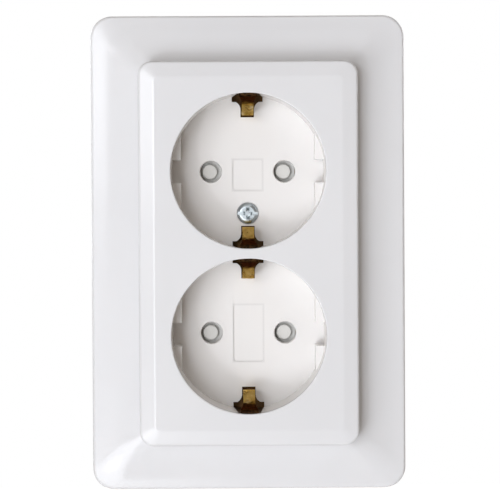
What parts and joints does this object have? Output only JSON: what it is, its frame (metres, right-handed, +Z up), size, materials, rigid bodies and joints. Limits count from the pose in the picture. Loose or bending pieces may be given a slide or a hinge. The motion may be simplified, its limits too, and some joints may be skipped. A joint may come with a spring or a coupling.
{
  "type": "twin wall socket outlet",
  "caption": "White twin earthed wall socket outlet, upright: two round wells with shuttered pin holes and sprung earth clips, a raised cover, a swept frame and a flush-box insert.",
  "frame": {"origin": "on the wall's face, at the middle of the flush box and of the front", "axes": "+Z up, +Y into the wall, +X to the right as seen from the room"},
  "size_m": [0.0802, 0.0469, 0.1212],
  "materials": {
    "white_plastic": "white moulded thermoplastic, smooth semi-gloss",
    "shutter_plastic": "pale grey-white moulded plastic, satin",
    "insert_plastic": "light grey moulded insulating plastic, matt",
    "button_plastic": "orange moulded plastic, satin",
    "zinc_steel": "bright zinc-plated steel",
    "plate_steel": "galvanised sheet steel, stamped",
    "rivet_steel": "plain steel rivet",
    "spring_steel": "stainless spring steel",
    "strip_brass": "stamped brass sheet",
    "clip_bronze": "stamped spring bronze, dull golden brown",
    "rivet_brass": "brass rivet",
    "bush_brass": "turned brass"
  },
  "bodies": {
    "insert": {"support_plate": "plate_steel", "plate_rivets": "rivet_steel", "socket_base": "insert_plastic", "rear_cover": "insert_plastic", "rear_rivets": "rivet_steel", "screw_bush": "bush_brass", "earth_strap": "strip_brass", "inner_clip_bracket": "strip_brass", "strap_rivets": "rivet_brass", "contact_strip_left": "strip_brass", "contact_strip_right": "strip_brass", "earth_terminal": "strip_brass", "wire_springs_left": "spring_steel", "wire_springs_right": "spring_steel", "wire_springs_earth": "spring_steel"},
    "frame": {"outer_frame": "white_plastic"},
    "cover": {"cover_plate": "white_plastic", "well_cup_upper": "white_plastic", "well_cup_lower": "white_plastic", "shutter_retainer_upper": "insert_plastic", "shutter_retainer_lower": "insert_plastic", "shutter_spring_upper": "spring_steel", "shutter_spring_lower": "spring_steel"},
    "screw": {"cover_screw": "zinc_steel"},
    "shutter_upper": {"shutter_upper": "shutter_plastic"},
    "earth_clip_upper_top": {"earth_clip_upper_top": "clip_bronze"},
    "earth_clip_upper_foot": {"earth_clip_upper_foot": "clip_bronze"},
    "shutter_lower": {"shutter_lower": "shutter_plastic"},
    "earth_clip_lower_top": {"earth_clip_lower_top": "clip_bronze"},
    "earth_clip_lower_foot": {"earth_clip_lower_foot": "clip_bronze"},
    "claw_screw_right": {"claw_screw_right": "zinc_steel"},
    "claw_right": {"claw_right": "plate_steel"},
    "claw_screw_left": {"claw_screw_left": "zinc_steel"},
    "claw_left": {"claw_left": "plate_steel"},
    "release_button_left": {"release_button_left": "button_plastic"},
    "release_button_right": {"release_button_right": "button_plastic"},
    "release_button_earth": {"release_button_earth": "button_plastic"}
  },
  "joints": [
    {"name": "frame_lift", "type": "slide", "parent": "insert", "child": "frame", "axis": [0, -1, 0], "range_m": [0, 0.03]},
    {"name": "cover_lift", "type": "slide", "parent": "frame", "child": "cover", "axis": [0, -1, 0], "range_m": [0, 0.03]},
    {"name": "cover_screw_turn", "type": "hinge", "parent": "cover", "child": "screw", "pos_m": [0, -0.0054, 0.01005], "axis": [0, -1, 0], "range_deg": [0, 4320]},
    {"name": "shutter_upper_slide", "type": "slide", "parent": "cover", "child": "shutter_upper", "axis": [1, 0, 0], "range_m": [0, 0.0062], "stiffness_N_per_m": 60, "springref_m": -0.004, "deforming": ["shutter_spring_upper"]},
    {"name": "earth_clip_upper_top_flex", "type": "hinge", "parent": "insert", "child": "earth_clip_upper_top", "pos_m": [0, -0.02155, 0.04045], "axis": [1, 0, 0], "range_deg": [0, 12], "stiffness_Nm_per_rad": 0.15, "springref_deg": -5.73},
    {"name": "earth_clip_upper_foot_flex", "type": "hinge", "parent": "insert", "child": "earth_clip_upper_foot", "pos_m": [0, -0.02155, 0.00125], "axis": [-1, 0, 0], "range_deg": [0, 12], "stiffness_Nm_per_rad": 0.15, "springref_deg": -5.73},
    {"name": "shutter_lower_slide", "type": "slide", "parent": "cover", "child": "shutter_lower", "axis": [1, 0, 0], "range_m": [0, 0.0062], "stiffness_N_per_m": 60, "springref_m": -0.004, "deforming": ["shutter_spring_lower"]},
    {"name": "earth_clip_lower_top_flex", "type": "hinge", "parent": "insert", "child": "earth_clip_lower_top", "pos_m": [0, -0.02155, -0.00125], "axis": [1, 0, 0], "range_deg": [0, 12], "stiffness_Nm_per_rad": 0.15, "springref_deg": -5.73},
    {"name": "earth_clip_lower_foot_flex", "type": "hinge", "parent": "insert", "child": "earth_clip_lower_foot", "pos_m": [0, -0.02155, -0.04045], "axis": [-1, 0, 0], "range_deg": [0, 12], "stiffness_Nm_per_rad": 0.15, "springref_deg": -5.73},
    {"name": "claw_screw_right_turn", "type": "hinge", "parent": "insert", "child": "claw_screw_right", "pos_m": [0.0226, -0.0008, 0], "axis": [0, 1, 0], "range_deg": [0, 1080]},
    {"name": "claw_right_spread", "type": "hinge", "parent": "insert", "child": "claw_right", "pos_m": [0.0184, 0.0015, 0], "axis": [0, 0, -1], "range_deg": [0, 18]},
    {"name": "claw_screw_left_turn", "type": "hinge", "parent": "insert", "child": "claw_screw_left", "pos_m": [-0.0226, -0.0008, 0], "axis": [0, 1, 0], "range_deg": [0, 1080]},
    {"name": "claw_left_spread", "type": "hinge", "parent": "insert", "child": "claw_left", "pos_m": [-0.0184, 0.0015, 0], "axis": [0, 0, 1], "range_deg": [0, 18]},
    {"name": "release_button_left_press", "type": "slide", "parent": "insert", "child": "release_button_left", "axis": [0, -1, 0], "range_m": [0, 0.0013], "stiffness_N_per_m": 1500, "springref_m": -0.0004, "deforming": ["wire_springs_left"]},
    {"name": "release_button_right_press", "type": "slide", "parent": "insert", "child": "release_button_right", "axis": [0, -1, 0], "range_m": [0, 0.0013], "stiffness_N_per_m": 1500, "springref_m": -0.0004, "deforming": ["wire_springs_right"]},
    {"name": "release_button_earth_press", "type": "slide", "parent": "insert", "child": "release_button_earth", "axis": [0, -1, 0], "range_m": [0, 0.0013], "stiffness_N_per_m": 1500, "springref_m": -0.0004, "deforming": ["wire_springs_earth"]}
  ],
  "couplings": [
    {"joint": "claw_right_spread", "follows": "claw_screw_right_turn", "ratio": 0.016667},
    {"joint": "claw_left_spread", "follows": "claw_screw_left_turn", "ratio": 0.016667}
  ]
}
